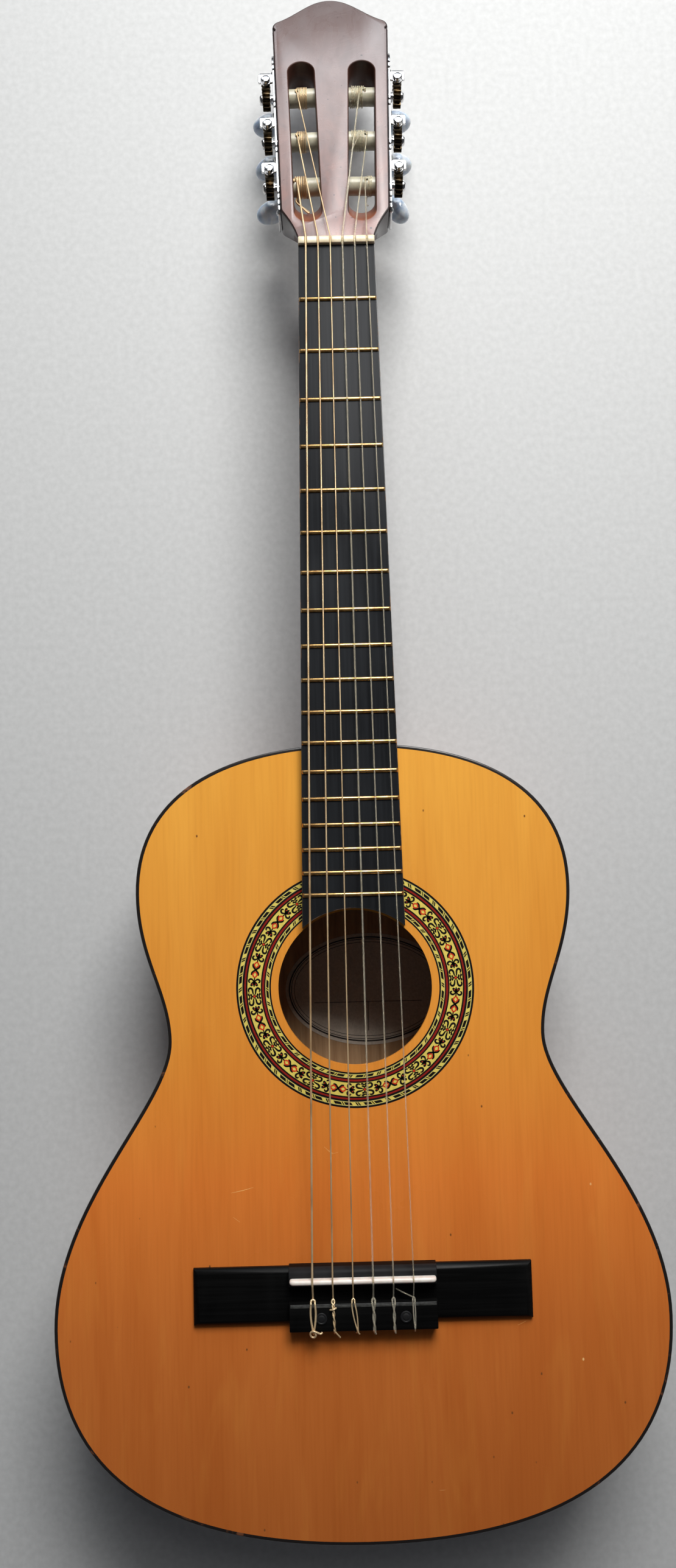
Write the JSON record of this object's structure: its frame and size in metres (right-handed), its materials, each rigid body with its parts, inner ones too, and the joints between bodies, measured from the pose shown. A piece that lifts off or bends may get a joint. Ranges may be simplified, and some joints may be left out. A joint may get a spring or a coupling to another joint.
{
  "type": "classical guitar",
  "caption": "Three-quarter size classical guitar: hollow wooden body with soundhole, fretted neck, nylon strings and slotted headstock with geared tuning machines.",
  "frame": {"origin": "on the outer face of the flat back, on the centre line, under the line at the bridge from which the fret distances are measured", "axes": "+Z out of the soundboard, +Y from the bridge towards the headstock, +X towards the treble strings"},
  "size_m": [0.3376, 0.913, 0.1023],
  "materials": {
    "soundboard_spruce": "gloss amber varnish over straight spruce grain, worn and lightly scratched",
    "body_mahogany": "gloss red-brown stain",
    "black_binding": "black plastic strip, rubbed brown in places",
    "rosette_inlay": "coloured wood and plastic mosaic under the varnish",
    "inner_wood": "bare pale wood",
    "neck_wood": "gloss reddish-brown stain",
    "fingerboard_wood": "black stained wood, satin, scuffed to brown at the edges",
    "bridge_wood": "black stained wood, satin",
    "cap_plastic": "small black plastic caps over the bridge bolts",
    "fret_brass": "rolled brass wire, worn bright on the crown",
    "nut_plastic": "cream plastic, slightly glossy",
    "nylon_string": "clear nylon",
    "wound_string": "silvered wire wound on a nylon core",
    "chromed_steel": "chromed pressed steel",
    "worm_and_button": "steel worm shaft with a pearly plastic button moulded on its end",
    "gear_brass": "tarnished brass",
    "roller_plastic": "ivory plastic barrel on a steel shaft",
    "label_paper": "matt printed paper, plain"
  },
  "bodies": {
    "guitar": {"back_plate": "body_mahogany", "bass_bolt_cap": "cap_plastic", "bass_machine_plate": "chromed_steel", "bass_side": "body_mahogany", "bridge": "bridge_wood", "fingerboard": "fingerboard_wood", "fret_01": "fret_brass", "fret_02": "fret_brass", "fret_03": "fret_brass", "fret_04": "fret_brass", "fret_05": "fret_brass", "fret_06": "fret_brass", "fret_07": "fret_brass", "fret_08": "fret_brass", "fret_09": "fret_brass", "fret_10": "fret_brass", "fret_11": "fret_brass", "fret_12": "fret_brass", "fret_13": "fret_brass", "fret_14": "fret_brass", "fret_15": "fret_brass", "fret_16": "fret_brass", "fret_17": "fret_brass", "fret_18": "fret_brass", "neck": "neck_wood", "nut": "nut_plastic", "paper_label": "label_paper", "rosette_ring": "rosette_inlay", "saddle": "nut_plastic", "soundboard": "soundboard_spruce", "string_1": "nylon_string", "string_2": "nylon_string", "string_3": "nylon_string", "string_4": "wound_string", "string_5": "wound_string", "string_6": "wound_string", "tail_block": "inner_wood", "top_binding": "black_binding", "top_lining": "inner_wood", "treble_bolt_cap": "cap_plastic", "treble_machine_plate": "chromed_steel", "treble_side": "body_mahogany"},
    "tuner_1_worm": {"worm_1": "worm_and_button"},
    "tuner_1_roller": {"roller_1": "roller_plastic", "gear_1": "gear_brass"},
    "tuner_2_worm": {"worm_2": "worm_and_button"},
    "tuner_2_roller": {"roller_2": "roller_plastic", "gear_2": "gear_brass"},
    "tuner_3_worm": {"worm_3": "worm_and_button"},
    "tuner_3_roller": {"roller_3": "roller_plastic", "gear_3": "gear_brass"},
    "tuner_4_worm": {"worm_4": "worm_and_button"},
    "tuner_4_roller": {"roller_4": "roller_plastic", "gear_4": "gear_brass"},
    "tuner_5_worm": {"worm_5": "worm_and_button"},
    "tuner_5_roller": {"roller_5": "roller_plastic", "gear_5": "gear_brass"},
    "tuner_6_worm": {"worm_6": "worm_and_button"},
    "tuner_6_roller": {"roller_6": "roller_plastic", "gear_6": "gear_brass"}
  },
  "joints": [
    {"name": "tuner_1_turn", "type": "hinge", "parent": "guitar", "child": "tuner_1_worm", "pos_m": [0.03907, 0.6381, 0.06827], "axis": [0, 0.225, 0.9744], "continuous": true},
    {"name": "roller_1_turn", "type": "hinge", "parent": "guitar", "child": "tuner_1_roller", "pos_m": [0.03297, 0.63046, 0.07003], "axis": [0.9997, -0.0255, 0.0059], "continuous": true},
    {"name": "tuner_2_turn", "type": "hinge", "parent": "guitar", "child": "tuner_2_worm", "pos_m": [0.03999, 0.67219, 0.0604], "axis": [0, 0.225, 0.9744], "continuous": true},
    {"name": "roller_2_turn", "type": "hinge", "parent": "guitar", "child": "tuner_2_roller", "pos_m": [0.03388, 0.66455, 0.06216], "axis": [0.9997, -0.0255, 0.0059], "continuous": true},
    {"name": "tuner_3_turn", "type": "hinge", "parent": "guitar", "child": "tuner_3_worm", "pos_m": [0.04091, 0.70628, 0.05252], "axis": [0, 0.225, 0.9744], "continuous": true},
    {"name": "roller_3_turn", "type": "hinge", "parent": "guitar", "child": "tuner_3_roller", "pos_m": [0.0348, 0.69864, 0.05429], "axis": [0.9997, -0.0255, 0.0059], "continuous": true},
    {"name": "tuner_4_turn", "type": "hinge", "parent": "guitar", "child": "tuner_4_worm", "pos_m": [-0.04091, 0.70628, 0.05252], "axis": [0, 0.225, 0.9744], "continuous": true},
    {"name": "roller_4_turn", "type": "hinge", "parent": "guitar", "child": "tuner_4_roller", "pos_m": [-0.0348, 0.69864, 0.05429], "axis": [0.9997, 0.0255, -0.0059], "continuous": true},
    {"name": "tuner_5_turn", "type": "hinge", "parent": "guitar", "child": "tuner_5_worm", "pos_m": [-0.03999, 0.67219, 0.0604], "axis": [0, 0.225, 0.9744], "continuous": true},
    {"name": "roller_5_turn", "type": "hinge", "parent": "guitar", "child": "tuner_5_roller", "pos_m": [-0.03388, 0.66455, 0.06216], "axis": [0.9997, 0.0255, -0.0059], "continuous": true},
    {"name": "tuner_6_turn", "type": "hinge", "parent": "guitar", "child": "tuner_6_worm", "pos_m": [-0.03907, 0.6381, 0.06827], "axis": [0, 0.225, 0.9744], "continuous": true},
    {"name": "roller_6_turn", "type": "hinge", "parent": "guitar", "child": "tuner_6_roller", "pos_m": [-0.03297, 0.63046, 0.07003], "axis": [0.9997, 0.0255, -0.0059], "continuous": true}
  ],
  "couplings": [
    {"joint": "roller_1_turn", "follows": "tuner_1_turn", "ratio": -0.071429},
    {"joint": "roller_2_turn", "follows": "tuner_2_turn", "ratio": -0.071429},
    {"joint": "roller_3_turn", "follows": "tuner_3_turn", "ratio": -0.071429},
    {"joint": "roller_4_turn", "follows": "tuner_4_turn", "ratio": -0.071429},
    {"joint": "roller_5_turn", "follows": "tuner_5_turn", "ratio": -0.071429},
    {"joint": "roller_6_turn", "follows": "tuner_6_turn", "ratio": -0.071429}
  ]
}
